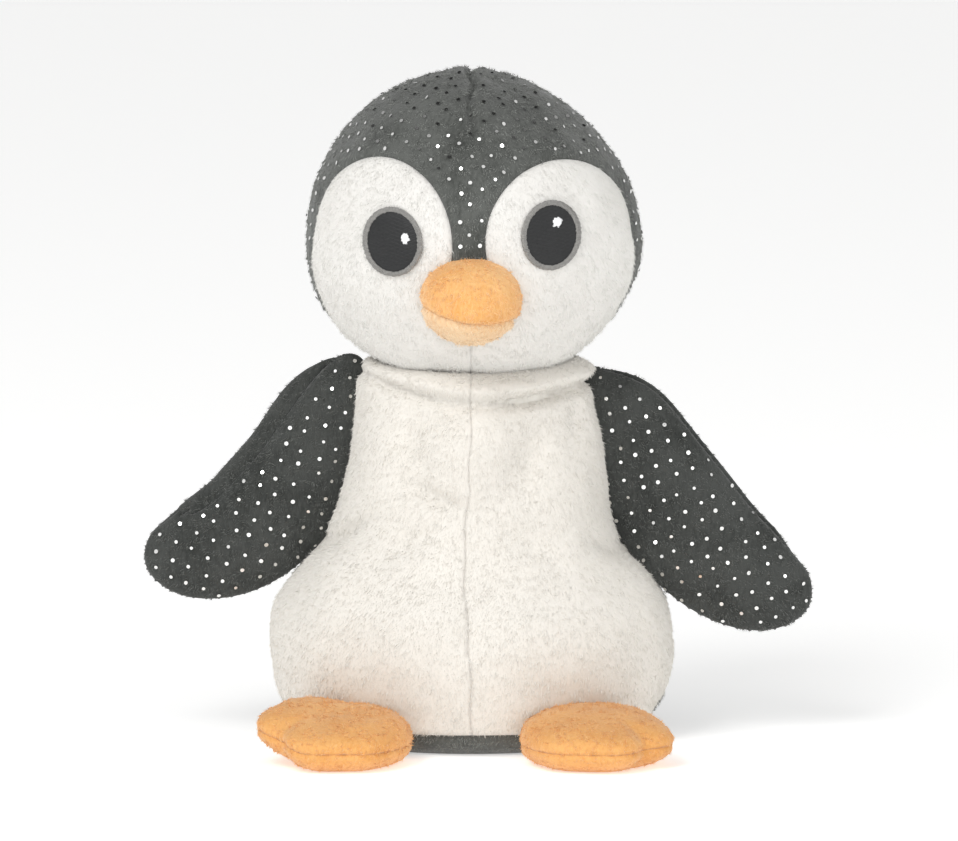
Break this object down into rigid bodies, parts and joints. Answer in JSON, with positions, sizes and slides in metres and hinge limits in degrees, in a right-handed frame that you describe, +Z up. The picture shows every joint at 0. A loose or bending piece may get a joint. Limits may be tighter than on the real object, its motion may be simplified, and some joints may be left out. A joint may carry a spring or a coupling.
{
  "type": "plush penguin",
  "caption": "Sitting plush penguin: egg-shaped head on a pear-shaped body, two flippers and two flat feet, each a sewn fabric skin over stuffing.",
  "frame": {"origin": "middle of the flat base, on the surface the toy sits on", "axes": "+Z up through the head, -Y the way the toy faces, +X the toy's own left"},
  "size_m": [0.2234, 0.1379, 0.2285],
  "materials": {
    "white_plush": "short white pile",
    "cream_plush": "short cream pile",
    "dark_plush": "short dark grey pile printed with small silver foil dots",
    "beak_plush": "short orange pile",
    "light_beak_plush": "short light orange pile",
    "foot_plush": "short orange pile",
    "eye_border_thread": "grey satin stitch",
    "pupil_thread": "black satin stitch",
    "glint_thread": "white satin stitch",
    "stuffing": "white polyester fibre fill",
    "pouch_cloth": "plain woven cloth",
    "pellets": "small plastic pellets"
  },
  "bodies": {
    "torso": {"belly_left": "cream_plush", "belly_right": "cream_plush", "back_left": "dark_plush", "back_right": "dark_plush", "base_panel": "dark_plush", "torso_stuffing": "stuffing", "pellet_pouch": "pouch_cloth", "pellet_fill": "pellets"},
    "neck": {"neck_stuffing": "stuffing"},
    "head": {"crown_panel": "dark_plush", "head_back_left": "dark_plush", "head_back_right": "dark_plush", "face_left": "white_plush", "face_right": "white_plush", "beak_upper": "beak_plush", "beak_lower": "light_beak_plush", "beak_stuffing": "stuffing", "head_stuffing": "stuffing", "left_eye_border": "eye_border_thread", "left_eye_pupil": "pupil_thread", "left_eye_glint": "glint_thread", "right_eye_border": "eye_border_thread", "right_eye_pupil": "pupil_thread", "right_eye_glint": "glint_thread"},
    "left_flipper": {"left_flipper_front": "dark_plush", "left_flipper_back": "dark_plush", "left_flipper_stuffing": "stuffing"},
    "left_foot": {"left_foot_top": "foot_plush", "left_foot_sole": "foot_plush", "left_foot_stuffing": "stuffing"},
    "right_flipper": {"right_flipper_front": "dark_plush", "right_flipper_back": "dark_plush", "right_flipper_stuffing": "stuffing"},
    "right_foot": {"right_foot_top": "foot_plush", "right_foot_sole": "foot_plush", "right_foot_stuffing": "stuffing"}
  },
  "joints": [
    {"name": "head_turn", "type": "hinge", "parent": "torso", "child": "neck", "pos_m": [0, 0, 0.127], "axis": [0, 0, 1], "range_deg": [-25, 25], "stiffness_Nm_per_rad": 0.15},
    {"name": "head_nod", "type": "hinge", "parent": "neck", "child": "head", "pos_m": [0, 0, 0.127], "axis": [1, 0, 0], "range_deg": [-8, 8], "stiffness_Nm_per_rad": 0.4},
    {"name": "left_flipper_raise", "type": "hinge", "parent": "torso", "child": "left_flipper", "pos_m": [0.041, 0.002, 0.133], "axis": [0, -1, 0], "range_deg": [0, 42], "stiffness_Nm_per_rad": 0.02},
    {"name": "right_flipper_raise", "type": "hinge", "parent": "torso", "child": "right_flipper", "pos_m": [-0.041, 0.002, 0.133], "axis": [0, 1, 0], "range_deg": [0, 42], "stiffness_Nm_per_rad": 0.02},
    {"name": "left_foot_lift", "type": "hinge", "parent": "torso", "child": "left_foot", "pos_m": [0.03671, -0.03733, 0.007], "axis": [-0.9781, -0.2079, 0], "range_deg": [0, 15], "stiffness_Nm_per_rad": 0.02},
    {"name": "right_foot_lift", "type": "hinge", "parent": "torso", "child": "right_foot", "pos_m": [-0.03716, -0.03719, 0.007], "axis": [-0.9397, 0.342, 0], "range_deg": [0, 15], "stiffness_Nm_per_rad": 0.02}
  ]
}
